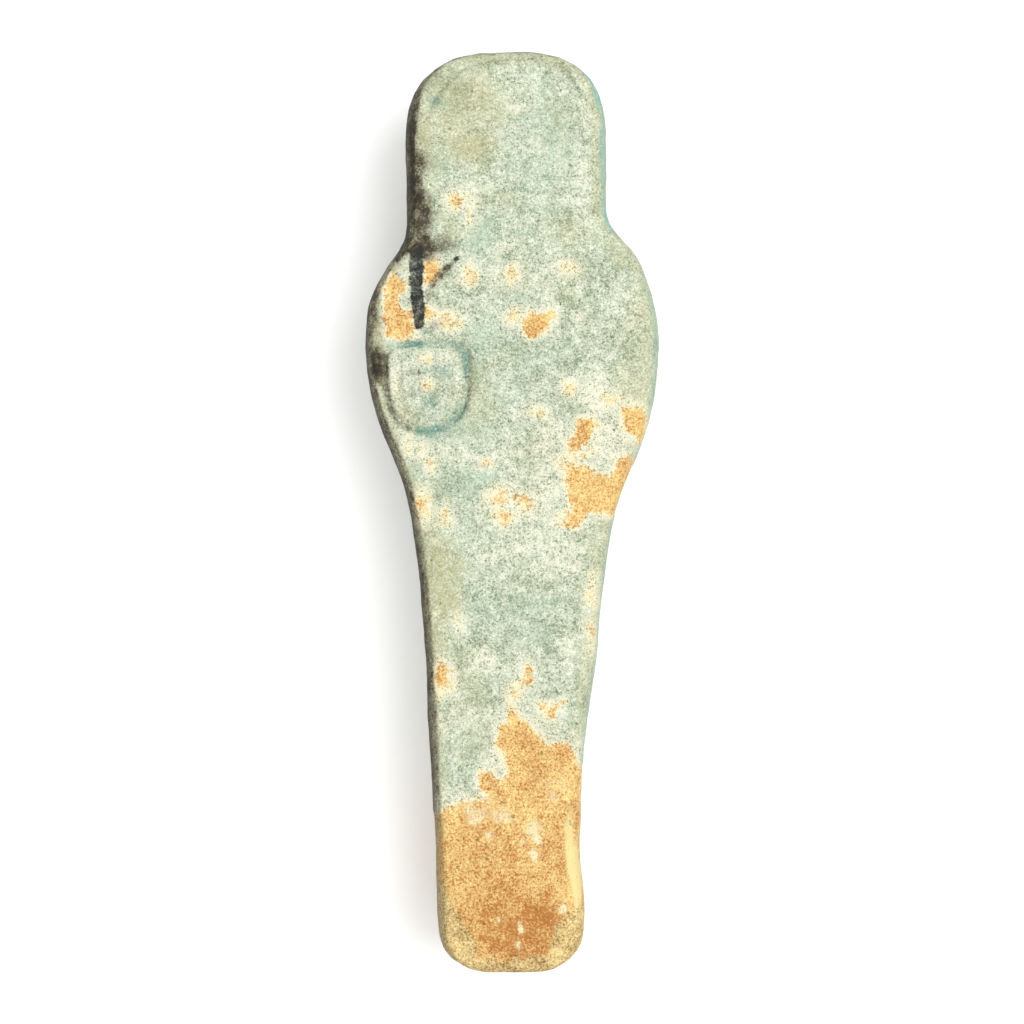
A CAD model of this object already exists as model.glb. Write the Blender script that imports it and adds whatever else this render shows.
"""A worn faience ushabti figurine, lying on its front, with its plain studio.

Places on the figurine are given in millimetres: across from its middle line, and up from its soles.
"""

import math

import bmesh
import bpy
import numpy as np
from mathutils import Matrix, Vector, noise


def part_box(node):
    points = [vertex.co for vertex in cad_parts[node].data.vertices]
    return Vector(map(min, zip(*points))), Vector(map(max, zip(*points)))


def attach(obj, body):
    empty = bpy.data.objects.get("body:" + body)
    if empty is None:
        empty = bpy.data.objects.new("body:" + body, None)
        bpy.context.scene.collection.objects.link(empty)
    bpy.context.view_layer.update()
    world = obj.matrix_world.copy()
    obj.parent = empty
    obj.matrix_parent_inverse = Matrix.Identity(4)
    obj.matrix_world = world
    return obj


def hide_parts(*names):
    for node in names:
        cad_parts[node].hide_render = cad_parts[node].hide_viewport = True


bl_info = {
    "name": "Ushabti figurine",
    "version": (1, 0, 0),
    "blender": (4, 5, 0),
    "location": "3D View > Sidebar > Ushabti",
    "description": "Builds a worn faience figurine over its solid, and a plain studio for it",
    "category": "Object",
}

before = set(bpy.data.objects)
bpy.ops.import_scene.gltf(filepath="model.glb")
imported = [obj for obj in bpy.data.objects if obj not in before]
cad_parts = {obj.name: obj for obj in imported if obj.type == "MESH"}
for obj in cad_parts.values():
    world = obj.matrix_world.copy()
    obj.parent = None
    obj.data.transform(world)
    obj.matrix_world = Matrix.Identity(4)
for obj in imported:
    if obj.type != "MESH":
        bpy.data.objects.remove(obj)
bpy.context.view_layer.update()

MM = 0.001
NODE = "figurine"
LOWEST, HIGHEST = (Vector(corner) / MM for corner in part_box(NODE))
DEPTH = HIGHEST.z - LOWEST.z
# Roughly how bright the studio's light makes a white surface that faces the camera
EXPOSURE = 1.55


def seen(red, green, blue):
    """The linear colour of a surface that shows this screen colour in the studio's light."""
    channels = (red / 255, green / 255, blue / 255)
    linear = ((c / 12.92) if c <= 0.04045 else ((c + 0.055) / 1.055) ** 2.4 for c in channels)
    return tuple(value / EXPOSURE for value in linear)


def mirrored(middle, strokes):
    """Brush lines on both sides of a middle line, from their widths and their right side's points."""
    return tuple(
        (width, tuple((middle + side * across, up) for across, up in points))
        for width, points in strokes for side in (-1, 1)
    )


def colour_property(name, description, default):
    return bpy.props.FloatVectorProperty(
        name=name, description=description, default=default, subtype="COLOR", size=3, min=0, max=1
    )


class FigurineSettings(bpy.types.PropertyGroup):
    """Sizes and colours of the figurine"""

    grain: bpy.props.FloatProperty(
        name="Mesh grain", description="Edge length of the dense mesh", default=0.3 * MM, min=0.3 * MM,
        unit="LENGTH", subtype="DISTANCE", precision=5,
    )
    glaze_loss: bpy.props.FloatProperty(
        name="Glaze loss", description="How far bare patches lie below the glaze", default=0.11 * MM,
        unit="LENGTH", subtype="DISTANCE", precision=5,
    )
    unevenness: bpy.props.FloatProperty(
        name="Unevenness", description="Rise and fall of the moulded surface", default=0.16 * MM,
        unit="LENGTH", subtype="DISTANCE", precision=5,
    )
    speckle: bpy.props.FloatProperty(
        name="Speckle size", description="Size of the worn glaze's grains", default=0.27 * MM,
        unit="LENGTH", subtype="DISTANCE", precision=5,
    )
    # A channel over 255 is brighter than the screen can show where the light is full
    glaze_light: colour_property("Pale glaze", "Raised grains of the worn glaze", seen(266, 269, 243))
    glaze_dark: colour_property("Deep glaze", "Hollows between its grains", seen(128, 149, 116))
    glaze_mint: colour_property("Mint glaze", "Clouds where the glaze is thicker", seen(158, 200, 176))
    glaze_tan: colour_property("Stained glaze", "Glaze that has turned to buff", seen(194, 186, 126))
    glaze_teal: colour_property("Pooled glaze", "Thick glaze in the grooves", seen(78, 136, 126))
    glaze_rim: colour_property("Rim glaze", "Brighter glaze at the right of the rim", seen(140, 198, 184))
    bloom: colour_property("Bloom", "Chalky film round the bare patches", seen(262, 257, 230))
    core: colour_property("Bare core", "Faience body where the glaze has gone", seen(281, 252, 168))
    core_dark: colour_property("Deep core", "Hollows and dirt in the bare body", seen(196, 124, 52))
    film: colour_property("Tan film", "Thin stained film along the edges of the foot", seen(284, 254, 180))
    film_dark: colour_property("Deep film", "Hollows in the tan film", seen(150, 118, 58))
    straw: colour_property("Straw film", "Smooth yellow film at the right of the foot", seen(258, 240, 168))
    buff: colour_property("Buff film", "Film at the edges of the bare patches", seen(262, 250, 200))
    paint: colour_property("Black paint", "Brushed cord of the bag and face lines", seen(32, 38, 30))
    soil: colour_property("Soil", "Dirt along the left side", seen(130, 119, 86))
    soil_dark: colour_property("Dark soil", "Dirt where it is thickest", seen(40, 36, 24))
    rim_dark: colour_property("Rim line", "Dull line along the back's rim", seen(94, 96, 72))


class StudioSettings(bpy.types.PropertyGroup):
    """Floor, lights and camera"""

    floor: colour_property("Floor", "Colour of the plain floor", (0.96, 0.96, 0.96))
    key: bpy.props.FloatProperty(
        name="Key light", description="Strength of the large light on the right", default=3.7, min=0,
        unit="POWER",
    )
    fill: bpy.props.FloatProperty(
        name="Top light", description="Strength of the light overhead", default=7.8, min=0,
        unit="POWER",
    )
    surround: bpy.props.FloatProperty(
        name="Surround", description="Strength of the even light all round", default=0.38, min=0
    )
    lens: bpy.props.FloatProperty(
        name="Lens", description="Focal length", default=85.0, min=20, unit="CAMERA"
    )
    framed: bpy.props.FloatProperty(
        name="Framed height", description="Length that fills the picture from top to bottom",
        default=111.42 * MM, unit="LENGTH", subtype="DISTANCE", precision=5,
    )
    widest: bpy.props.FloatProperty(
        name="Focus height", description="Height of the figurine's widest line above the floor",
        default=15.3 * MM, unit="LENGTH", subtype="DISTANCE", precision=5,
    )


# The studio in metres: where the lights stand and how wide they are, and half of the floor's side
LIGHT_AIM = (0, 0, 0.01)
KEY_PLACE = (0.36, 0.1, 0.66)
KEY_WIDTH = 0.6
TOP_PLACE = (0.0, 0.0, 0.9)
TOP_WIDTH = 1.2
FLOOR_HALF = 2.0
NEAREST_SEEN = 0.01

# Sizes of the noises that ruffle the mesh, and of the finish's grains, in millimetres
RAGGED_SIZE = 2.2
FINE_SIZE = 0.8
SWELL_SIZE = 9.0
BLOTCH_SIZE = 1.1
PATCHY_SIZE = 3.4
CLOUD_SIZE = 9
PIT_SIZE = 0.5

# Fine relief and worn corners, in millimetres
RAGGED_RISE = 0.035
FINE_RISE = 0.02
CROWN_EASE = 0.32
HEEL_EASE = 0.6
GROOVE_DEPTH = 0.28
RIDGE_HEIGHT = 0.15
LIP_HEIGHT = 0.45
MOUTH_DEPTH = 0.6
FINGER_GAP_DEPTH = 0.55
BUMP_HEIGHT = 0.08

# How light the glaze's and the bare body's grains are from 0 to 1, and what darkens or lightens them
GLAZE_LIGHTNESS = 0.475
BODY_LIGHTNESS = 0.48
PEPPER_DARKENING = 0.12
FOOT_DARKENING = 0.06
DEEP_DARKENING = 0.3
FILM_LIGHTENING = 0.08

# How fully each layer covers the ones below it, from 0 to 1
MINT_COVER = 0.5
DRIFTING_MINT_COVER = 0.2
STAIN_COVER = 0.65
DRIFTING_STAIN_COVER = 0.22
BORDER_STAIN_COVER = 0.36
HALO_COVER = 0.9
BLOOM_COVER = 0.88
TEAL_COVER = 0.92
DULL_COVER = 0.95
CROWN_LINE_COVER = 0.5
LEFT_LINE_COVER = 0.6
RIM_LINE_COVER = 0.06
RIM_GLAZE_COVER = 0.5
BUFF_COVER = 0.75
FILM_COVER = 0.92
STRAW_COVER = 0.9
WALL_DIRT = 0.66
RIM_DIRT = 0.3
GLAZE_PIT_COVER = 0.5
BODY_PIT_COVER = 0.45

# The surface's shine
DRY_ROUGHNESS = 0.75
POOLED_SMOOTHNESS = 0.25
SPECULAR = 0.35
BUMP_STRENGTH = 0.7

# The plain wrapping lies below this line and nearer the floor than this level
WRAPPING_TOP = 58
WRAPPING_DEPTH = 16.8

# A distance beyond all marks, one that keeps a mark off another side, and the step along the outline
FAR = 99.0
AWAY = 9
OUTLINE_STEP = 0.5

# The dense mesh: how near vertices merge, in metres, its fewest faces, and its rounds of smoothing
MERGED = 1e-7
FEWEST_FACES = 20000
SMOOTHINGS = 5
WRAPPING_SMOOTHINGS = 22

# Bare spots on the flat back: across, up, half-width, half-height, tilt in degrees
BARE_SPOTS = (
    (-1.35, 51.55, 0.75, 0.65, 0), (1.25, 51.1, 0.65, 0.45, 0), (0.2, 51.2, 0.6, 0.25, 0),
    (-0.7, 49.5, 0.55, 0.5, 0), (-9.7, 50.7, 0.4, 0.8, 8), (-7.6, 32.4, 0.95, 1.4, 0),
    (1.7, 32.7, 0.55, 0.85, 0), (-6.0, 83.5, 0.35, 0.35, 0),
)
# Larger bare patches, as outlines of across, up points
SHOULDER_PATCH = (
    (-13.8, 74.4), (-13.3, 75.7), (-12.7, 76.0), (-12.0, 75.2), (-11.3, 74.5), (-11.5, 73.8), (-12.2, 73.3),
    (-12.2, 72.2), (-11.5, 71.7), (-10.7, 71.5), (-10.6, 70.4), (-10.3, 68.9), (-12.0, 68.6), (-13.4, 68.4),
    (-14.0, 69.0), (-13.6, 70.1), (-13.8, 71.9), (-13.9, 73.3),
)
CORD_PATCH = (
    (-9.4, 76.8), (-8.8, 77.4), (-8.1, 77.3), (-7.7, 76.4), (-8.0, 75.3), (-8.6, 74.6), (-9.3, 74.5),
    (-9.5, 75.3),
)
LOWER_CORD_PATCH = ((-9.3, 72.4), (-8.6, 72.0), (-7.8, 71.4), (-8.3, 70.8), (-9.3, 70.6), (-9.5, 71.6))
ROW_PATCH = (
    (1.7, 71.7), (2.8, 71.4), (3.9, 71.9), (4.8, 71.7), (4.9, 70.9), (4.1, 70.0), (3.2, 69.2), (2.1, 68.8),
    (1.2, 69.5), (1.3, 70.8),
)
WAIST_PATCH = (
    (7.3, 60.0), (8.5, 60.1), (9.1, 59.1), (8.6, 57.9), (7.8, 57.2), (7.0, 56.3), (6.1, 56.4), (6.0, 57.4),
    (6.8, 58.9),
)
ELBOW_PATCH = (
    (11.5, 61.2), (12.7, 61.5), (14.2, 61.1), (15.0, 60.0), (14.6, 58.4), (13.6, 56.9), (12.7, 58.1),
    (11.8, 59.7),
)
HIP_PATCH = (
    (11.9, 56.1), (13.1, 55.9), (13.6, 54.3), (12.7, 52.0), (11.4, 49.3), (9.4, 49.8), (8.2, 49.9),
    (7.7, 49.0), (7.1, 48.3), (5.2, 48.6), (6.5, 49.9), (5.9, 51.6), (5.5, 54.1), (6.2, 55.3), (8.1, 55.2),
    (8.9, 54.1), (10.5, 53.9), (11.3, 55.3),
)
LEG_PATCH = ((2.8, 29.5), (4.0, 29.1), (5.4, 29.6), (5.2, 28.6), (4.6, 27.4), (4.0, 27.8), (3.2, 28.6))
BARE_PATCHES = (
    SHOULDER_PATCH, CORD_PATCH, LOWER_CORD_PATCH, ROW_PATCH, WAIST_PATCH, ELBOW_PATCH, HIP_PATCH, LEG_PATCH,
)
# Small spots where only the highest grains are bare
FAINT_SPOTS = (
    (-6.0, 83.6, 0.8, 0.75, 20), (-4.5, 82.1, 0.3, 0.6, 0), (-4.6, 75.4, 0.65, 0.8, 0),
    (0.1, 75.6, 0.7, 0.75, 0), (5.9, 76.4, 0.7, 0.55, 0), (0.1, 70.9, 0.65, 0.6, 0),
    (-7.0, 70.6, 1.1, 0.8, -15), (-9.1, 66.5, 0.4, 0.35, 0), (-9.0, 63.8, 0.42, 0.42, 0),
    (6.2, 63.4, 0.6, 0.8, 0), (10.5, 62.0, 0.6, 0.5, 0), (2.7, 60.7, 0.6, 0.5, 0),
    (-1.4, 51.4, 1.2, 1.0, 0), (1.1, 51.0, 1.1, 0.8, 0), (-0.9, 49.5, 0.9, 0.9, 0),
    (-7.0, 49.6, 0.4, 0.7, 0), (-9.0, 55.2, 0.4, 0.5, 0), (-11.0, 56.9, 0.35, 0.8, 0),
    (-5.7, 38.1, 0.35, 0.5, 0), (0.4, 30.4, 0.45, 1.5, -22), (8.7, 41.0, 0.4, 1.2, 0),
    (8.7, 36.8, 0.4, 1.2, 0), (-9.7, 50.6, 0.8, 1.4, 8), (7.0, 55.9, 1.6, 0.5, 20),
    (6.1, 49.4, 1.3, 0.9, 0), (-7.6, 32.4, 1.2, 1.7, 0), (-9.7, 56.3, 0.3, 0.5, 0),
    (-2.9, 55.3, 0.5, 0.4, 0),
)
# The bare foot, the chalky islands left on it, its darker middle, and the yellow strip at its right edge
# Here and below, outline points at 30, -30 and -20 lie beyond the figurine
FOOT = (
    (-30.0, 17.4), (-7.7, 17.7), (-6.5, 18.4), (-5.1, 19.0), (-3.2, 19.3), (-3.9, 20.6), (-3.5, 22.2),
    (-2.2, 22.3), (-1.5, 20.9), (-0.5, 21.7), (-0.8, 23.1), (-1.6, 24.4), (-1.3, 26.5), (-0.6, 27.8),
    (0.1, 28.9), (1.4, 27.6), (3.0, 26.2), (3.6, 25.1), (5.7, 25.2), (6.5, 24.1), (7.6, 22.7), (30.0, 22.4),
    (30.0, -20.0), (-30.0, -20.0),
)
FOOT_ISLANDS = (
    (5.4, 21.1, 0.9, 1.0, 0), (3.5, 20.9, 0.8, 0.4, 0), (2.1, 16.1, 1.0, 0.7, -20),
    (2.4, 13.1, 0.4, 0.8, 0), (-1.1, 17.2, 1.0, 0.7, -30), (-3.9, 17.2, 0.8, 1.0, 0),
    (-4.6, 18.6, 0.6, 0.9, 0), (-1.4, 6.1, 0.2, 0.2, 0), (1.0, 5.2, 0.15, 0.25, 0),
    (5.3, 7.2, 0.25, 0.3, 0), (1.0, 14.6, 0.3, 0.3, 0), (0.8, 3.6, 0.15, 0.15, 0),
    (-2.6, 15.2, 0.35, 0.5, 0), (2.6, 14.9, 0.5, 0.6, 0), (4.4, 19.3, 0.5, 0.5, 0),
    (-2.4, 19.0, 0.5, 0.6, 0),
)
FOOT_DEEP = ((0.6, 5.4, 4.8, 3.2, 0, 1.0), (-1.5, 8.6, 2.6, 1.8, -30, 0.6))
FOOT_STRIP = ((6.2, 14.8, 0.45, 3.0, 0), (6.7, 12.2, 0.75, 2.8, 6), (7.1, 9.6, 0.6, 2.2, 0))
# Tan film over the foot's corners and its end
FOOT_FILM = (
    (-30.0, 12.0), (-8.0, 10.6), (-6.7, 8.4), (-5.4, 6.3), (-4.2, 3.9), (-3.4, 2.4), (-1.3, 1.7),
    (1.9, 1.8), (4.1, 2.1), (4.3, 4.5), (5.8, 6.4), (6.8, 7.6), (30.0, 8.0), (30.0, -20.0), (-30.0, -20.0),
)
# Soft clouds over the glaze: across, up, half-width, half-height, tilt in degrees, strength
BLOOM_SPOTS = (
    (-1.7, 75.2, 0.8, 0.8, 0, 0.8), (-1.0, 78.4, 1.2, 0.7, 0, 0.8), (0.9, 74.6, 0.9, 0.5, -20, 0.7),
    (-6.7, 70.2, 1.7, 1.3, 0, 1.0), (-9.6, 68.9, 1.2, 0.4, 0, 0.8), (6.8, 70.8, 0.6, 0.55, 0, 0.7),
    (8.7, 63.6, 1.2, 0.8, 0, 0.9), (9.8, 61.8, 3.0, 1.7, -25, 1.0), (9.8, 57.6, 3.2, 2.4, 0, 1.0),
    (2.7, 60.7, 1.2, 0.8, 0, 0.9), (3.8, 52.5, 1.6, 2.6, 0, 0.9), (-0.4, 50.5, 2.9, 2.1, 0, 0.9),
    (-9.6, 50.5, 1.1, 1.9, 5, 0.9), (-7.0, 49.6, 0.9, 1.0, 0, 0.8), (-9.0, 55.2, 0.9, 0.9, 0, 0.8),
    (-10.6, 57.0, 0.9, 1.0, 0, 0.8), (-7.2, 56.4, 1.0, 0.7, 0, 0.7), (-5.3, 56.6, 0.9, 0.7, 0, 0.7),
    (-2.9, 55.9, 1.6, 0.6, 0, 0.9), (-10.7, 66.5, 0.5, 0.45, 0, 0.9), (-6.9, 66.5, 0.6, 0.7, 0, 0.6),
    (-9.1, 66.5, 0.8, 0.6, 0, 0.9), (-9.0, 63.8, 0.7, 0.65, 0, 1.0), (-12.6, 64.0, 0.4, 3.0, 0, 0.9),
    (-6.8, 62.4, 0.8, 0.8, 0, 0.6), (-3.7, 34.4, 0.8, 0.8, 20, 1.0), (-2.4, 33.8, 0.6, 0.6, 0, 0.9),
    (-1.8, 24.6, 0.9, 3.0, -15, 0.9), (-5.6, 19.5, 2.2, 0.7, 12, 0.8), (-1.5, 22.2, 1.2, 1.3, 0, 0.8),
    (5.2, 26.4, 3.0, 0.8, -20, 0.9), (7.1, 24.8, 1.0, 1.3, 0, 0.9), (3.1, 43.9, 1.6, 0.9, 0, 0.7),
    (8.8, 36.2, 0.6, 4.0, 0, 0.6), (-7.7, 27.4, 0.9, 1.2, 0, 0.7), (13.2, 72.0, 0.5, 1.6, 10, 0.5),
    (1.0, 94.0, 1.5, 1.2, 0, 0.5), (1.3, 89.8, 2.0, 1.9, 0, 0.5), (8.1, 91.5, 0.6, 1.0, 0, 0.7),
    (-2.0, 45.5, 1.8, 0.7, 0, 0.7), (6.0, 45.0, 1.6, 1.8, 0, 0.7), (-1.0, 57.0, 3.0, 1.0, 0, 0.5),
    (4.0, 57.5, 1.6, 3.0, 0, 0.7), (-6.2, 83.6, 1.3, 1.2, 0, 0.8), (-4.5, 82.1, 0.5, 0.8, 0, 0.8),
    (-8.6, 91.6, 0.5, 0.6, 0, 0.7), (4.4, 46.5, 4.0, 1.6, 0, 0.5), (-5.0, 27.6, 2.4, 2.4, 0, 0.4),
    (6.8, 86.0, 2.2, 5.0, 0, 0.35),
)
MINT_SPOTS = (
    (-8.1, 94.1, 0.8, 0.7, 0, 1.0), (3.4, 88.0, 4.0, 6.5, 0, 0.4), (-7.7, 87.3, 1.4, 1.6, 0, 0.7),
    (-2.6, 80.0, 1.0, 1.5, 0, 0.9), (5.0, 82.8, 1.1, 0.9, 0, 0.6), (0.0, 72.7, 1.0, 0.9, 0, 0.6),
    (-3.7, 68.4, 1.8, 2.6, 0, 0.7), (-10.1, 54.4, 1.4, 1.3, 0, 0.6), (-7.5, 52.2, 1.0, 1.8, 0, 0.6),
    (-4.2, 53.3, 2.2, 1.7, 0, 0.8), (2.3, 40.2, 2.0, 1.5, 0, 0.5), (2.8, 36.4, 1.8, 1.5, 0, 0.5),
    (-4.5, 26.3, 2.3, 1.9, 0, 0.5), (-8.7, 61.6, 0.9, 0.9, 0, 0.9), (-4.2, 66.6, 1.1, 2.4, 0, 0.7),
    (-7.6, 65.2, 1.2, 0.7, 0, 1.0), (-0.5, 63.5, 2.0, 2.0, 0, 0.5), (2.0, 66.5, 2.6, 1.8, 0, 0.5),
    (-8.4, 58.6, 2.4, 0.9, 0, 1.0), (-5.4, 60.8, 0.8, 1.2, -30, 0.8), (-8.8, 68.2, 4.0, 0.6, 0, 0.9),
    (-2.2, 57.6, 1.2, 1.2, 0, 0.5), (-6.0, 22.0, 1.4, 1.6, 0, 0.4),
)
TEAL_SPOTS = (
    (-8.3, 94.1, 0.6, 0.5, 0, 0.6), (-7.8, 65.3, 1.0, 0.4, 0, 0.55), (-9.3, 65.2, 0.3, 0.3, 0, 0.5),
    (-5.2, 67.0, 0.4, 0.7, 0, 0.6), (-8.6, 61.8, 0.5, 0.6, 0, 0.4),
)
TAN_SPOTS = (
    (-5.4, 93.8, 4.8, 3.6, 0, 0.7), (-4.7, 89.4, 2.8, 2.2, 0, 0.8), (-9.0, 90.5, 0.9, 5.5, 0, 0.8),
    (-6.5, 80.2, 1.4, 1.4, 0, 0.6), (11.0, 78.6, 1.8, 0.8, -40, 0.7), (14.2, 70.6, 0.6, 3.6, 0, 0.8),
    (13.9, 62.6, 0.8, 2.4, 10, 0.8), (-8.6, 40.5, 1.2, 8.0, 0, 1.0), (-7.6, 42.0, 2.2, 5.0, 0, 1.0),
    (-4.0, 61.2, 2.0, 2.8, 0, 0.5), (8.9, 30.0, 0.6, 7.0, -4, 0.6), (5.0, 92.0, 1.0, 2.2, 0, 0.4),
    (9.0, 43.0, 0.5, 3.0, 0, 0.6), (-8.9, 30.5, 0.5, 3.0, 0, 0.8), (-14.2, 69.0, 0.6, 2.4, 0, 1.0),
    (-11.4, 60.6, 0.7, 1.6, 20, 1.0), (-12.0, 76.6, 0.8, 0.5, 0, 1.0), (6.0, 80.5, 2.4, 1.6, 0, 0.4),
    (-13.0, 58.5, 0.9, 3.0, 12, 0.5),
)
# Dirt: down the left side of the wig and over the neck, and at the shoulder's edge
SMEAR_PATCH = (
    (-10.1, 89.2), (-9.3, 88.6), (-9.1, 87.2), (-9.6, 86.2), (-9.4, 84.8), (-8.6, 83.8), (-8.4, 82.4),
    (-8.5, 81.0), (-8.9, 80.0), (-7.9, 79.0), (-8.2, 77.8), (-9.4, 77.5), (-11.0, 77.7), (-12.2, 77.0),
    (-30.0, 76.6), (-30.0, 89.2),
)
SOIL_SPOTS = (
    (-9.8, 88.0, 0.3, 0.7, 0, 1.0), (-9.3, 82.4, 0.8, 1.2, 0, 1.0), (-9.0, 79.5, 0.7, 0.6, 0, 0.9),
    (-7.9, 78.9, 1.7, 1.2, 0, 0.62), (-6.4, 78.6, 0.7, 0.6, 0, 0.5), (-14.9, 72.6, 0.6, 2.2, 0, 1.0),
    (-14.6, 65.5, 0.8, 1.9, 0, 1.0), (-14.4, 69.5, 0.5, 1.6, 0, 0.4), (-9.4, 78.3, 1.4, 1.2, 0, 1.0),
    (-8.3, 70.0, 0.35, 0.25, 30, 0.6), (-12.2, 77.2, 1.4, 0.5, 45, 0.5), (-9.1, 77.4, 0.7, 0.35, 0, 0.9),
)
# Thin brushed or dirty lines: width, strength, then across, up points
SOIL_LINES = (
    (0.5, 0.7, ((-6.0, 77.1), (-6.9, 76.3))), (0.95, 0.8, ((-6.9, 76.3), (-7.9, 75.3))),
    (0.5, 0.65, ((-7.9, 75.3), (-8.6, 74.3))), (0.6, 0.9, ((-8.35, 74.7), (-8.6, 74.2))),
    (0.4, 0.5, ((-8.7, 74.0), (-9.1, 72.8))), (0.12, 0.4, ((-4.4, 55.2), (-2.6, 55.0))),
    (0.25, 0.35, ((-11.3, 64.9), (-10.2, 64.9))),
    (0.15, 0.6, ((-13.0, 76.2), (-12.4, 75.6), (-11.6, 74.8))),
)
CORD = (
    (-11.1, 78.2), (-9.6, 78.1), (-9.5, 76.2), (-9.7, 74.3), (-9.4, 72.6), (-9.4, 70.9), (-9.6, 69.8),
    (-10.4, 69.6), (-10.6, 70.9), (-10.8, 72.6), (-11.0, 74.3), (-11.1, 76.2),
)
PAINT_DOTS = (
    (-5.95, 77.25, 0.36, 0.32, 20), (-4.75, 64.45, 0.24, 0.22, 0), (-10.05, 64.95, 0.2, 0.18, 0),
    (11.0, 58.7, 0.12, 0.12, 0),
)
# Glaze pooled round the bag, and the dull lines where it has worn off
POOLED_LINES = (
    (0.35, 0.5, ((-13.4, 67.8), (-11.8, 67.9))), (0.75, 1.0, ((-11.8, 67.95), (-9.9, 68.05))),
    (0.4, 0.65, ((-9.9, 68.05), (-6.6, 68.1), (-5.7, 67.9))),
    (0.65, 0.75, ((-5.7, 67.9), (-5.0, 67.0), (-4.9, 64.8))), (0.4, 0.4, ((-4.9, 64.8), (-4.8, 62.6))),
    (0.75, 0.7, ((-4.9, 61.8), (-5.4, 60.7), (-6.1, 60.0))), (0.45, 0.55, ((-6.1, 60.0), (-7.3, 59.1))),
    (0.85, 0.65, ((-7.5, 59.0), (-9.0, 58.6), (-10.2, 58.7))),
)
WORN_LINES = (
    (0.6, 1.0, ((-13.8, 66.8), (-13.7, 63.6), (-13.3, 61.5), (-12.4, 59.8), (-11.0, 58.9))),
    (0.3, 0.5, ((-4.6, 66.6), (-4.5, 62.6), (-4.7, 61.0))),
    (0.3, 0.45, ((-11.9, 66.6), (-11.8, 63.0), (-11.1, 60.8), (-10.0, 60.0))),
    (0.2, 0.35, ((-9.95, 66.6), (-9.95, 62.6))), (0.25, 0.35, ((-8.2, 66.9), (-8.3, 61.4))),
    (0.2, 0.3, ((-6.6, 66.9), (-6.5, 62.0))), (0.25, 0.4, ((-11.9, 65.0), (-9.8, 65.0))),
    (0.25, 0.35, ((-9.8, 65.9), (-6.8, 66.0))), (0.2, 0.3, ((-11.8, 62.9), (-6.6, 63.0))),
    (0.3, 0.4, (
        (-8.9, 92.5), (-7.6, 95.3), (-5.4, 97.4), (-2.0, 98.5), (2.5, 98.7), (5.5, 97.3), (7.6, 95.0),
    )),
)
# The middle of the bag's groove, and the ridge beside it
BAG_GROOVE = (
    (0.1, (
        (-13.7, 66.8), (-13.7, 63.6), (-13.2, 61.2), (-11.9, 59.4), (-9.3, 58.75), (-6.7, 59.4),
        (-5.3, 61.2), (-4.88, 63.6), (-4.88, 67.0), (-5.5, 67.95), (-9.3, 68.05), (-13.1, 67.95),
        (-13.7, 66.8),
    )),
)
BAG_RIDGE = ((0.3, ((-12.7, 66.6), (-12.7, 63.6), (-12.2, 61.6), (-11.2, 60.3))),)
# Brighter glaze pooled on the right rim
TURQUOISE_SPOTS = (
    (8.7, 95.4, 1.4, 2.6, 35, 1.0), (10.0, 81.4, 1.4, 1.9, 0, 0.9), (10.0, 88.0, 1.2, 5.0, 0, 0.6),
    (15.4, 68.0, 1.6, 9.0, 0, 0.4), (13.0, 58.0, 2.0, 4.0, 0, 0.3), (9.0, 36.0, 1.4, 14.0, 0, 0.15),
)
# Low relief on the front: lips, the line between them, and the gaps between the fingers
FACE_MIDDLE = -0.65
LIPS = (
    (0.3, ((-2.2, 82.5), (-1.1, 82.75), (-0.2, 82.75), (0.9, 82.5))),
    (0.4, ((-1.9, 81.3), (-0.65, 81.05), (0.6, 81.3))),
)
MOUTH = ((0.1, ((-2.5, 81.95), (-0.65, 81.85), (1.2, 81.95))),)
FINGER_GAPS = mirrored(0, tuple((0.1, ((2.6, up), (6.4, up + 0.2))) for up in (69.6, 70.6, 71.6)))
# Worn brush lines on the front: brows, rims of the eyes and pupils, then hoes, mouth and the bag's cord
FACE_LINES = mirrored(FACE_MIDDLE, (
    (0.5, ((0.85, 88.2), (2.55, 88.8), (4.45, 87.9))),
    (0.3, ((0.95, 86.8), (1.75, 87.4), (2.65, 87.5), (3.55, 87.3), (4.25, 86.8), (5.15, 86.6))),
    (0.25, ((0.95, 86.7), (2.65, 86.1), (4.25, 86.7))), (0.8, ((2.55, 86.75), (2.65, 86.75))),
))
HOE_LINES = mirrored(0, (
    (0.6, ((4.5, 67.5), (4.6, 72.6), (4.9, 76.6))), (0.8, ((4.9, 76.6), (3.4, 75.6), (2.8, 73.9))),
))
FRONT_LINES = FACE_LINES + HOE_LINES + (
    (0.2, ((-2.2, 81.95), (-0.65, 81.8), (0.9, 81.95))),
    (0.7, ((-10.8, 79.0), (-8.9, 76.4), (-6.2, 73.0), (-4.6, 71.0))),
)


# Distances and fields, worked out for all the mesh's vertices at once


def mark_distance(across, up, marks):
    """Rough signed distance in millimetres to the nearest of some ellipses: negative inside."""
    nearest = np.full(across.shape, FAR)
    for x, y, half_width, half_height, tilt in marks:
        turn = math.radians(tilt)
        u = (across - x) * math.cos(turn) + (up - y) * math.sin(turn)
        v = (up - y) * math.cos(turn) - (across - x) * math.sin(turn)
        reach = np.sqrt((u / half_width) ** 2 + (v / half_height) ** 2)
        nearest = np.minimum(nearest, (reach - 1) * min(half_width, half_height))
    return nearest


def line_distance(across, up, points):
    """Distance in millimetres to a line through some points."""
    nearest = np.full(across.shape, FAR)
    for (x0, y0), (x1, y1) in zip(points, points[1:]):
        dx, dy = x1 - x0, y1 - y0
        along = np.clip(((across - x0) * dx + (up - y0) * dy) / (dx * dx + dy * dy), 0, 1)
        nearest = np.minimum(nearest, np.hypot(across - x0 - along * dx, up - y0 - along * dy))
    return nearest


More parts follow.
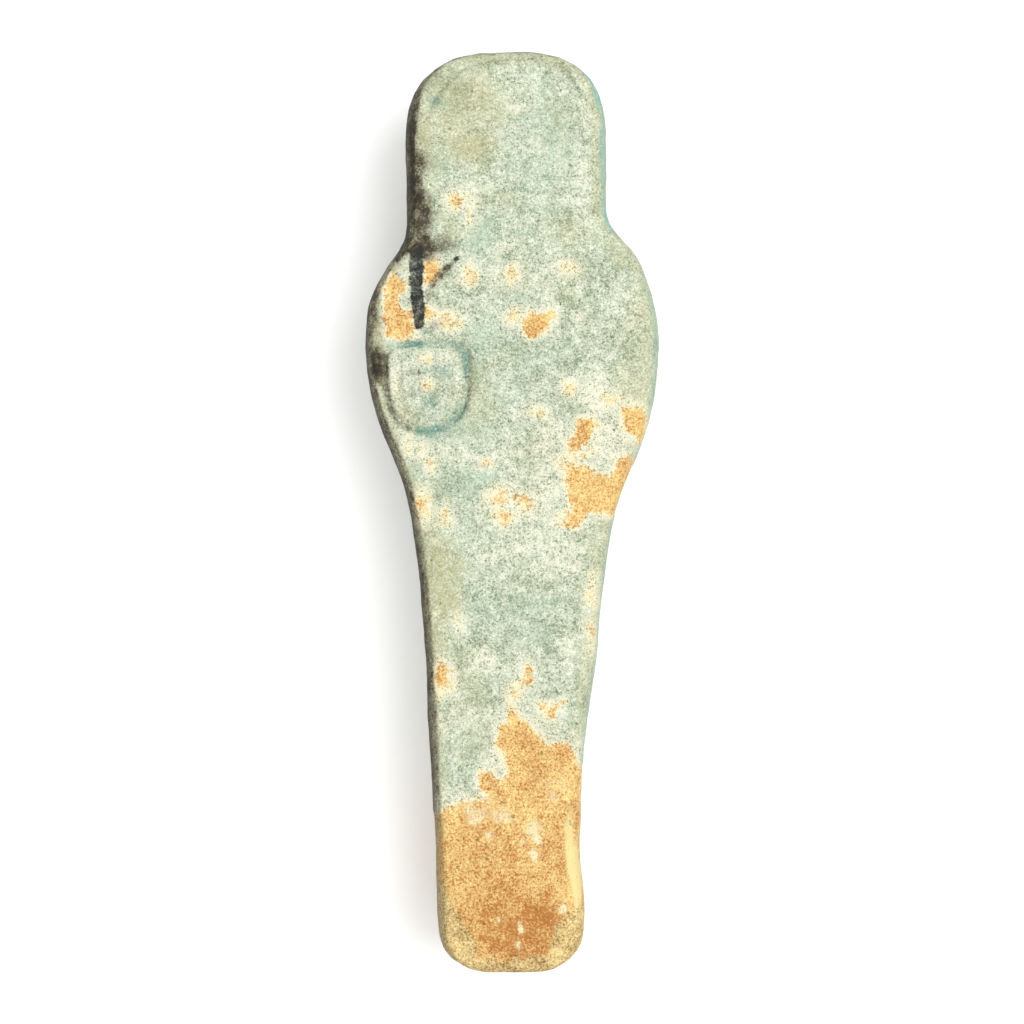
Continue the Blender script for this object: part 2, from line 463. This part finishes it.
def stroke_distance(across, up, strokes):
    """Signed distance to the nearest of some lines that have a width."""
    nearest = np.full(across.shape, FAR)
    for width, points in strokes:
        nearest = np.minimum(nearest, line_distance(across, up, points) - width / 2)
    return nearest


def cloud_share(across, up, marks, wander, reach):
    """The strongest of some soft-edged ellipses at each point, from 0 to 1."""
    share = np.zeros(across.shape)
    for *mark, strength in marks:
        share = np.maximum(share, strength * soft(mark_distance(across, up, (mark,)) + wander, reach))
    return share


def stroke_share(across, up, strokes, wander, reach):
    """The strongest of some soft-edged lines at each point, from 0 to 1."""
    share = np.zeros(across.shape)
    for width, strength, points in strokes:
        distance = line_distance(across, up, points) - width / 2 + wander
        share = np.maximum(share, strength * soft(distance, reach))
    return share


def patch_distance(across, up, outlines):
    """Signed distance to the nearest of some outlined patches: negative inside."""
    nearest = np.full(across.shape, FAR)
    for outline in outlines:
        closed = outline + outline[:1]
        inside = np.zeros(across.shape, bool)
        for (x0, y0), (x1, y1) in zip(closed, closed[1:]):
            if y0 != y1:
                inside ^= ((y0 > up) != (y1 > up)) & (across < x0 + (x1 - x0) * (up - y0) / (y1 - y0))
        edge = line_distance(across, up, closed)
        nearest = np.minimum(nearest, np.where(inside, -edge, edge))
    return nearest


def soft(distance, reach):
    """1 well inside a mark, falling to 0 at that reach outside it."""
    share = np.clip((reach - distance) / (2 * reach), 0, 1)
    return share * share * (3 - 2 * share)


def ramp(values, low, high):
    """0 at low, 1 at high, and smooth between them."""
    share = np.clip((values - low) / (high - low), 0, 1)
    return share * share * (3 - 2 * share)


def outline_inset(across, up):
    """How far each point lies in from the outline seen from behind, in millimetres."""
    inset = np.full(across.shape, FAR)
    for along, over in ((up, across), (across, up)):
        start = along.min()
        rows = ((along - start) / OUTLINE_STEP).astype(int)
        high = np.full(rows.max() + 1, -FAR)
        low = np.full(rows.max() + 1, FAR)
        np.maximum.at(high, rows, over)
        np.minimum.at(low, rows, over)
        places = start + (np.arange(len(high)) + 0.5) * OUTLINE_STEP
        inset = np.minimum(inset, np.interp(along, places, high) - over)
        inset = np.minimum(inset, over - np.interp(along, places, low))
    return inset


def rough(points, size, octaves, seed):
    """Fractal noise of about -1 to 1 at each point, in millimetres, with grains of that size."""
    offset = Vector((seed * 17.3, seed * 5.1, seed * 9.7))
    return np.array([
        noise.fractal(Vector(point) / size + offset, 1.0, 2.1, octaves, noise_basis="PERLIN_ORIGINAL")
        for point in points
    ])


# The dense mesh


def dense_copy(node, grain):
    """The CAD solid's merged copy, remeshed evenly."""
    shape = bmesh.new()
    shape.from_mesh(node.data)
    bmesh.ops.remove_doubles(shape, verts=shape.verts, dist=MERGED)
    source = bpy.data.meshes.new("solid_copy")
    shape.to_mesh(source)
    shape.free()
    carrier = bpy.data.objects.new("solid_copy", source)
    bpy.context.scene.collection.objects.link(carrier)
    even = carrier.modifiers.new("even", "REMESH")
    even.mode = "VOXEL"
    even.voxel_size = grain
    dense = bpy.data.meshes.new_from_object(carrier.evaluated_get(bpy.context.evaluated_depsgraph_get()))
    bpy.data.objects.remove(carrier)
    bpy.data.meshes.remove(source)
    if len(dense.polygons) < FEWEST_FACES:
        raise RuntimeError("the remeshed figurine came out too coarse")
    return dense


def smooth(shape, verts, times):
    """Smooths some of the shape's vertices, that many times."""
    for _ in range(times):
        bmesh.ops.smooth_vert(
            shape, verts=verts, factor=0.5, use_axis_x=True, use_axis_y=True, use_axis_z=True
        )


def softened(mesh):
    """Smooths the facets away: little over the face, hands and bag, more along the plain wrapping."""
    shape = bmesh.new()
    shape.from_mesh(mesh)
    low = LOWEST.y * MM
    plain = [v for v in shape.verts if v.co.z < WRAPPING_DEPTH * MM and v.co.y - low < WRAPPING_TOP * MM]
    smooth(shape, shape.verts, SMOOTHINGS)
    smooth(shape, plain, WRAPPING_SMOOTHINGS)
    shape.to_mesh(mesh)
    shape.free()


class Surface:
    """The dense mesh's vertices in millimetres, with the fields that wear and finish follow."""

    def __init__(self, mesh):
        self.mesh = mesh
        self.count = len(mesh.vertices)
        self.read()

    def read(self):
        flat = np.empty(self.count * 3)
        self.mesh.vertices.foreach_get("co", flat)
        self.points = flat.reshape(-1, 3) / MM
        self.mesh.vertex_normals.foreach_get("vector", flat)
        self.normals = flat.reshape(-1, 3).copy()
        self.across = self.points[:, 0]
        self.up = self.points[:, 1] - LOWEST.y
        self.level = self.points[:, 2]
        self.back = ramp(self.level, DEPTH - 4.5, DEPTH - 1.8)
        self.front = ramp(-self.normals[:, 2], -0.1, 0.25)

    def move(self, height):
        """Raises each vertex along its normal by a height in millimetres."""
        self.points += self.normals * height[:, None]
        self.write()

    def ease_corners(self):
        """Wears the left of the crown and the corners of the foot a little rounder than the mould."""
        crown = CROWN_EASE * ramp(self.up, 86, 99) * ramp(-self.across, -2.5, 4)
        heel = HEEL_EASE * ramp(-self.up, -5, -0.3) * ramp(np.abs(self.across), 2.8, 7.2)
        self.points[:, 1] += heel - crown
        self.write()

    def write(self):
        self.points = np.clip(self.points, np.array(LOWEST), np.array(HIGHEST))
        self.mesh.vertices.foreach_set("co", (self.points * MM).ravel())
        self.mesh.update()
        self.read()

    def keep(self, name, values):
        """Stores a field that the material reads."""
        field = self.mesh.attributes.new(name, "FLOAT", "POINT")
        field.data.foreach_set("value", values.astype(np.float32))


class Roughness:
    """Noises in millimetres that ruffle the surface and the edges of all marks."""

    def __init__(self, points):
        self.ragged = rough(points, RAGGED_SIZE, 4, 1)
        self.fine = rough(points, FINE_SIZE, 2, 2)
        self.swell = rough(points, SWELL_SIZE, 3, 3)


def keep_wear(surface, noises):
    """Stores the distances to bare, worn and covered places, and returns the one to the bare body."""
    across, up, level = surface.across, surface.up, surface.level
    ragged, fine = noises.ragged, noises.fine
    wall = np.maximum(0, DEPTH - 3.0 - level)
    patches = patch_distance(across, up, BARE_PATCHES)
    spots = np.minimum(mark_distance(across, up, BARE_SPOTS), patches)
    spots = spots + 0.28 * wall + AWAY * (1 - ramp(level, 4, 9))
    faint = mark_distance(across, up, FAINT_SPOTS) + 0.3 * wall + AWAY * (1 - surface.back)
    foot = patch_distance(across, up, (FOOT,)) + 0.9 * ramp(wall, 1, 9)
    resting = level * 1.2 + 0.07
    bare = np.minimum(np.minimum(spots, foot), resting) + 0.24 * ragged + 0.16 * fine
    islands = mark_distance(across, up, FOOT_ISLANDS)
    film = patch_distance(across, up, (FOOT_FILM,))
    strip = mark_distance(across, up, FOOT_STRIP)
    surface.keep("bare", bare)
    surface.keep("faint", faint + 0.3 * ragged)
    surface.keep("halo", np.minimum(np.minimum(spots, faint), foot * 1.2) + 0.5 * ragged)
    surface.keep("islands", islands + 0.3 * ragged + 0.2 * fine + 0.6 * wall)
    surface.keep("film", film + 0.5 * ragged + 0.2 * fine - 0.3 * wall)
    surface.keep("strip", strip + 0.25 * ragged + 0.15 * fine + 0.4 * wall)
    surface.keep("foot", ramp(-up, -24, -12))
    return bare


def keep_clouds(surface, noises):
    """Stores the strengths of the soft clouds and lines over the glaze."""
    across, up, back = surface.across, surface.up, surface.back
    ragged, fine = noises.ragged, noises.fine
    for name, spots, wander, reach in (
        ("deep", FOOT_DEEP, 0.8, 1.2), ("chalk", BLOOM_SPOTS, 0.7, 1.0), ("mint", MINT_SPOTS, 1.0, 1.4),
        ("tan", TAN_SPOTS, 1.0, 1.5),
    ):
        surface.keep(name, cloud_share(across, up, spots, wander * ragged, reach) * back)
    teal = cloud_share(across, up, TEAL_SPOTS, 0.2 * ragged + 0.1 * fine, 0.3)
    pooled = stroke_share(across, up, POOLED_LINES, 0.15 * ragged + 0.1 * fine, 0.3)
    surface.keep("teal", np.maximum(teal, pooled) * back)
    dull = stroke_share(across, up, WORN_LINES, 0.12 * ragged + 0.06 * fine, 0.3)
    surface.keep("dull", dull * back)
    surface.keep("turquoise", cloud_share(across, up, TURQUOISE_SPOTS, 0.5 * ragged, 0.8))


def keep_paint_and_dirt(surface, noises):
    """Stores the distance to painted lines, and the strength of the dirt on the back."""
    across, up, back = surface.across, surface.up, surface.back
    painted = np.minimum(patch_distance(across, up, (CORD,)), mark_distance(across, up, PAINT_DOTS))
    brushed = stroke_distance(across, up, FRONT_LINES) + AWAY * (1 - surface.front)
    surface.keep("paint", np.minimum(painted + AWAY * (1 - back), brushed) + 0.1 * noises.fine)
    smear = soft(patch_distance(across, up, (SMEAR_PATCH,)) + 0.5 * noises.ragged, 0.8) * 0.8
    smear = np.maximum(smear, cloud_share(across, up, SOIL_SPOTS, 0.4 * noises.ragged, 0.6))
    smear = np.maximum(smear, stroke_share(across, up, SOIL_LINES, 0.12 * noises.ragged, 0.25))
    surface.keep("soil", smear * back)


def keep_sides(surface, across, up, ragged):
    """Stores where the walls, the rim and the crown are."""
    left = np.clip(-surface.normals[:, 0], -1, 1) * ramp(surface.level, 3, 9)
    wig = ramp(left, 0.1, 0.5) * ramp(up, 74, 79) * ramp(-up, -98, -92)
    upper = ramp(surface.level + 1.5 * ragged, 11.5, 15) * (0.5 + 0.5 * ramp(up, 12, 26))
    surface.keep("side", left)
    surface.keep("wig_side", wig * ramp(surface.level + 3 * ragged, 9, 14))
    surface.keep("upper", upper)
    surface.keep("rim", ramp(surface.level + 1.2 * ragged, 13.5, 16.8))
    surface.keep("inset", outline_inset(across, up))
    surface.keep("crown", ramp(up, 90, 96))


def relief(surface, noises, bare, settings):
    """How far each vertex rises, in millimetres: swells, lost glaze, the bag, the lips and the fingers."""
    height = settings.unevenness / MM * noises.swell
    height = height + RAGGED_RISE * noises.ragged + FINE_RISE * noises.fine
    height = height - settings.glaze_loss / MM * ramp(-bare, -0.15, 0.25)
    for side, rise, reach, strokes in (
        (surface.back, -GROOVE_DEPTH, 0.4, BAG_GROOVE), (surface.back, RIDGE_HEIGHT, 0.4, BAG_RIDGE),
        (surface.front, LIP_HEIGHT, 0.35, LIPS), (surface.front, -MOUTH_DEPTH, 0.3, MOUTH),
        (surface.front, -FINGER_GAP_DEPTH, 0.3, FINGER_GAPS),
    ):
        height = height + rise * side * soft(stroke_distance(surface.across, surface.up, strokes), reach)
    return height


def finished(mesh, settings):
    """Wears the dense mesh and stores the fields that its material reads."""
    surface = Surface(mesh)
    surface.ease_corners()
    noises = Roughness(surface.points)
    bare = keep_wear(surface, noises)
    keep_clouds(surface, noises)
    keep_paint_and_dirt(surface, noises)
    across, up = surface.across, surface.up
    surface.move(relief(surface, noises, bare, settings))
    keep_sides(surface, across, up, noises.ragged)


# Shader maths: distances are in millimetres, and the shares between two colours run from 0 to 1


class Wire:
    """A node's output. Sums and products of wires and numbers add Math nodes."""

    def __init__(self, nodes, socket):
        self.nodes = nodes
        self.socket = socket

    def _maths(self, operation, first, second):
        return self.nodes.add("ShaderNodeMath", {"operation": operation}, {0: first, 1: second})

    def __add__(self, other):
        return self._maths("ADD", self, other)

    def __sub__(self, other):
        return self._maths("SUBTRACT", self, other)

    def __rsub__(self, other):
        return self._maths("SUBTRACT", other, self)

    def __mul__(self, other):
        return self._maths("MULTIPLY", self, other)

    __radd__ = __add__
    __rmul__ = __mul__

    def highest(self, other):
        return self._maths("MAXIMUM", self, other)

    def clamped(self):
        return self._maths("MINIMUM", self.highest(0.0), 1.0)

    def step(self, low, high):
        """0 at low, 1 at high, and smooth between them."""
        return self.nodes.add(
            "ShaderNodeMapRange", {"interpolation_type": "SMOOTHSTEP"},
            {"Value": self, "From Min": low, "From Max": high, "To Min": 0.0, "To Max": 1.0},
        )


class Nodes:
    """The node tree of one material."""

    def __init__(self, name):
        self.material = bpy.data.materials.new(name)
        self.material.use_nodes = True
        self.tree = self.material.node_tree
        self.tree.nodes.clear()

    def add(self, kind, settings, sockets, output=0):
        """Adds a node with its settings, and the values or wires of its sockets, and returns one output."""
        node = self.tree.nodes.new(kind)
        for name, value in settings.items():
            setattr(node, name, value)
        for key, value in sockets.items():
            if isinstance(value, Wire):
                self.tree.links.new(value.socket, node.inputs[key])
            else:
                node.inputs[key].default_value = value
        return Wire(self, node.outputs[output])

    def blend(self, first, second, share):
        """A colour between two others."""
        sockets = {0: share}
        for index, value in ((6, first), (7, second)):
            sockets[index] = value if isinstance(value, Wire) else (*value, 1.0)
        return self.add("ShaderNodeMix", {"data_type": "RGBA"}, sockets, output=2)

    def field(self, name):
        """A number stored on the mesh."""
        return self.add("ShaderNodeAttribute", {"attribute_name": name}, {}, output="Fac")

    def grain(self, place, size, detail, roughness=0.5):
        """Noise of 0 to 1 with grains of a size in metres."""
        return self.add(
            "ShaderNodeTexNoise", {"normalize": True},
            {"Vector": place, "Scale": 1 / size, "Detail": detail, "Roughness": roughness},
        )


class Grains:
    """The noises that every layer of the finish shares, so that its edges follow the same grains."""

    def __init__(self, nodes, size):
        place = nodes.add("ShaderNodeTexCoord", {}, {}, output="Object")
        self.speck = nodes.grain(place, size, 2.0, 0.6) - 0.5
        self.fleck = nodes.grain(place, size * 0.6, 1.0) - 0.5
        self.blotch = nodes.grain(place, BLOTCH_SIZE * MM, 3.0, 0.6) - 0.5
        self.patchy = nodes.grain(place, PATCHY_SIZE * MM, 3.0, 0.55) - 0.5
        self.cloud = nodes.grain(place, CLOUD_SIZE * MM, 2.0) - 0.5
        self.pit = nodes.grain(place, PIT_SIZE * MM, 0.0) - 0.5
        self.fine = self.speck * 1.4 + self.fleck * 0.9
        self.edge = self.speck * 0.8 + self.blotch * 1.6
        self.pepper = (self.fleck + self.speck * 0.5).step(-0.04, -0.2)
        self.uneven = self.patchy * 0.8 - self.pepper * PEPPER_DARKENING


def glazed(nodes, grains, settings):
    """Pale grains with darker dots between them, tinted in clouds, with a chalky bloom and pits."""
    light = grains.fine + grains.blotch + grains.uneven + GLAZE_LIGHTNESS
    glaze = nodes.blend(settings.glaze_dark, settings.glaze_light, light.clamped())
    drift = grains.cloud + grains.patchy * 0.6
    mint = nodes.field("mint") * MINT_COVER + drift.step(0.0, 0.2) * DRIFTING_MINT_COVER
    mint = mint * (0.75 - grains.fine + grains.blotch)
    minted = nodes.blend(glaze, settings.glaze_mint, mint.clamped())
    stain = nodes.field("tan") * STAIN_COVER + drift.step(-0.02, -0.22) * DRIFTING_STAIN_COVER
    border = (nodes.field("inset") + grains.blotch * 2.0).step(2.4, 1.1) * BORDER_STAIN_COVER
    stain = stain.highest(border) * (0.8 - grains.fine + grains.blotch * 1.2)
    stained = nodes.blend(minted, settings.glaze_tan, stain.clamped())
    near = nodes.field("halo") + grains.blotch * 2.4 + grains.speck
    chalk = (near.step(1.2, 0.0) * HALO_COVER).highest(nodes.field("chalk") * BLOOM_COVER)
    chalk = chalk * (0.65 + grains.fine * 1.2 + grains.blotch * 1.6 - grains.pepper * 0.3)
    chalky = nodes.blend(stained, settings.bloom, chalk.clamped())
    warm = near.step(0.6, -0.2) * (0.6 + grains.fine * 1.2 - grains.pepper * 0.3)
    warmed = nodes.blend(chalky, settings.buff, warm.clamped())
    return nodes.blend(warmed, settings.soil_dark, grains.pit.step(-0.25, -0.33) * GLAZE_PIT_COVER)


def rimmed(nodes, grains, settings, inside):
    """Glaze pooled in the bag's groove, dull lines, and the line along the back's rim."""
    broken = 0.9 - grains.fine * 0.9 + grains.blotch * 2.0
    teal = (nodes.field("teal") * broken).clamped() * TEAL_COVER
    dull = (nodes.field("dull") * broken).clamped() * DULL_COVER
    dulled = nodes.blend(nodes.blend(inside, settings.glaze_teal, teal), settings.rim_dark, dull)
    inset = nodes.field("inset") + grains.blotch * 0.8 + grains.speck * 0.5
    rim = nodes.field("rim")
    left = nodes.field("side").step(0.05, 0.3)
    crown = nodes.field("crown")
    line = crown * CROWN_LINE_COVER + left * LEFT_LINE_COVER + RIM_LINE_COVER
    line = inset.step(0.55, 0.05) * line * rim
    lined = nodes.blend(dulled, settings.rim_dark, line.clamped())
    right = nodes.field("side").step(0.1, -0.1)
    pooled = inset.step(1.2, 0.3) * nodes.field("turquoise")
    turquoise = pooled.highest(inset.step(0.6, 0.0) * RIM_GLAZE_COVER) * right * rim
    return nodes.blend(lined, settings.glaze_rim, (turquoise * (0.9 - grains.fine * 0.8)).clamped())


def bare_body(nodes, grains, settings):
    """The granular body where the glaze has gone, with buff edges, and the films left on the foot."""
    foot = nodes.field("foot")
    deep = nodes.field("deep")
    light = grains.fine * 1.1 + grains.blotch * 0.9 + grains.uneven + BODY_LIGHTNESS
    light = light - foot * FOOT_DARKENING
    body = nodes.blend(settings.core_dark, settings.core, (light - deep * DEEP_DARKENING).clamped())
    edge = (nodes.field("bare") + grains.edge).step(-0.6, 0.05) * (0.6 + grains.fine * 1.4 + grains.blotch)
    edged = nodes.blend(body, settings.buff, edge.clamped() * BUFF_COVER)
    film = nodes.blend(settings.film_dark, settings.film, (light + FILM_LIGHTENING).clamped())
    share = (nodes.field("film") + grains.edge * 1.2).step(0.35, -0.35) * foot
    filmed = nodes.blend(edged, film, share * FILM_COVER)
    strip = (nodes.field("strip") + grains.edge * 0.5).step(0.2, -0.2) * foot
    striped = nodes.blend(filmed, settings.straw, strip * STRAW_COVER)
    islands = (nodes.field("islands") + grains.edge * 1.2).step(0.25, -0.15) * foot
    islands = islands * (0.95 + grains.fine * 1.3)
    covered = nodes.blend(striped, settings.buff, islands.clamped())
    return nodes.blend(covered, settings.soil_dark, grains.pit.step(-0.22, -0.32) * BODY_PIT_COVER)


def faience(settings):
    """Worn, speckled glaze over a bare granular body, with dirt and black brushwork."""
    nodes = Nodes("faience")
    grains = Grains(nodes, settings.speckle)
    glaze = rimmed(nodes, grains, settings, glazed(nodes, grains, settings))
    bare = (nodes.field("bare") + grains.edge).step(0.12, -0.22)
    faint = (nodes.field("faint") + grains.edge * 1.6).step(0.05, -0.5) * (0.6 + grains.fine * 0.5)
    worn = nodes.blend(glaze, bare_body(nodes, grains, settings), bare.highest(faint.clamped()))

    inset = nodes.field("inset") + grains.blotch * 0.8
    wall = nodes.field("side").step(0.2, 0.7) * (WALL_DIRT + inset.step(0.7, 0.1) * RIM_DIRT)
    dirt = nodes.field("soil").highest(nodes.field("wig_side")).highest(wall * nodes.field("upper"))
    mottle = grains.blotch * 1.8 + grains.patchy * 0.9 - grains.fine * 0.7
    dark = (dirt * 0.85 + mottle * 0.9 - 0.1).clamped()
    soil = nodes.blend(settings.soil, settings.soil_dark, dark)
    dirty = nodes.blend(worn, soil, (dirt * (1.15 + mottle)).clamped())
    stroke = (nodes.field("paint") + grains.edge * 0.35).step(0.12, -0.12)
    cover = stroke * (0.94 - grains.fine * 0.4 - grains.blotch * 0.9)
    painted = nodes.blend(dirty, settings.paint, cover.clamped())

    height = grains.speck * 1.6 + grains.fleck
    bump = nodes.add(
        "ShaderNodeBump", {}, {"Strength": BUMP_STRENGTH, "Distance": BUMP_HEIGHT * MM, "Height": height},
    )
    shader = nodes.add(
        "ShaderNodeBsdfPrincipled", {},
        {
            "Base Color": painted, "Normal": bump, "Specular IOR Level": SPECULAR,
            "Roughness": DRY_ROUGHNESS - nodes.field("teal") * POOLED_SMOOTHNESS,
        },
    )
    out = nodes.tree.nodes.new("ShaderNodeOutputMaterial")
    nodes.tree.links.new(shader.socket, out.inputs["Surface"])
    return nodes.material


class USHABTI_OT_figurine(bpy.types.Operator):
    """Add the worn figurine over its solid"""

    bl_idname = "ushabti.figurine"
    bl_label = "Add figurine"

    def execute(self, context):
        settings = context.scene.ushabti_figurine
        mesh = dense_copy(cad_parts[NODE], settings.grain)
        mesh.name = "worn_figurine"
        softened(mesh)
        finished(mesh, settings)
        mesh.shade_smooth()
        mesh.materials.clear()
        mesh.materials.append(faience(settings))
        figurine = bpy.data.objects.new("worn_figurine", mesh)
        context.scene.collection.objects.link(figurine)
        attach(figurine, "root")
        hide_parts(NODE)
        return {"FINISHED"}


def add_light(name, power, width, place):
    """A round soft light that points at the figurine."""
    light = bpy.data.lights.new(name, "AREA")
    light.energy = power
    light.shape = "DISK"
    light.size = width
    lamp = bpy.data.objects.new(name, light)
    lamp.location = place
    lamp.rotation_euler = (Vector(LIGHT_AIM) - Vector(place)).to_track_quat("-Z", "Y").to_euler()
    bpy.context.scene.collection.objects.link(lamp)


class USHABTI_OT_studio(bpy.types.Operator):
    """Add the floor, the lights and the camera"""

    bl_idname = "ushabti.studio"
    bl_label = "Add studio"

    def execute(self, context):
        settings = context.scene.ushabti_studio
        scene = context.scene
        shape = bmesh.new()
        bmesh.ops.create_grid(shape, x_segments=1, y_segments=1, size=FLOOR_HALF)
        mesh = bpy.data.meshes.new("floor")
        shape.to_mesh(mesh)
        shape.free()
        nodes = Nodes("pale_floor")
        shader = nodes.add(
            "ShaderNodeBsdfPrincipled", {}, {"Base Color": (*settings.floor, 1.0), "Roughness": 0.9},
        )
        out = nodes.tree.nodes.new("ShaderNodeOutputMaterial")
        nodes.tree.links.new(shader.socket, out.inputs["Surface"])
        mesh.materials.append(nodes.material)
        floor = bpy.data.objects.new("floor", mesh)
        scene.collection.objects.link(floor)

        add_light("key", settings.key, KEY_WIDTH, KEY_PLACE)
        add_light("top", settings.fill, TOP_WIDTH, TOP_PLACE)
        world = bpy.data.worlds.new("surround")
        world.use_nodes = True
        world.node_tree.nodes["Background"].inputs["Color"].default_value = (1, 1, 1, 1)
        world.node_tree.nodes["Background"].inputs["Strength"].default_value = settings.surround
        scene.world = world
        scene.view_settings.view_transform = "Standard"

        camera = bpy.data.objects.new("camera", bpy.data.cameras.new("camera"))
        camera.data.lens = settings.lens
        distance = settings.framed * settings.lens / camera.data.sensor_width
        camera.location = (0, 0, settings.widest + distance)
        camera.data.clip_start = NEAREST_SEEN
        scene.collection.objects.link(camera)
        scene.camera = camera
        return {"FINISHED"}


class USHABTI_PT_panel(bpy.types.Panel):
    """Lists the pieces and their settings"""

    bl_idname = "USHABTI_PT_panel"
    bl_label = "Ushabti figurine"
    bl_space_type = "VIEW_3D"
    bl_region_type = "UI"
    bl_category = "Ushabti"

    def draw(self, context):
        scene = context.scene
        for settings, operator in (
            (scene.ushabti_figurine, USHABTI_OT_figurine), (scene.ushabti_studio, USHABTI_OT_studio),
        ):
            box = self.layout.box()
            for name in settings.__annotations__:
                box.prop(settings, name)
            box.operator(operator.bl_idname)


CLASSES = (FigurineSettings, StudioSettings, USHABTI_OT_figurine, USHABTI_OT_studio, USHABTI_PT_panel)


def register():
    for cls in CLASSES:
        bpy.utils.register_class(cls)
    bpy.types.Scene.ushabti_figurine = bpy.props.PointerProperty(type=FigurineSettings)
    bpy.types.Scene.ushabti_studio = bpy.props.PointerProperty(type=StudioSettings)


def unregister():
    del bpy.types.Scene.ushabti_studio
    del bpy.types.Scene.ushabti_figurine
    for cls in reversed(CLASSES):
        bpy.utils.unregister_class(cls)


def main():
    register()
    bpy.ops.ushabti.figurine()
    bpy.ops.ushabti.studio()


if __name__ == "__main__":
    main()
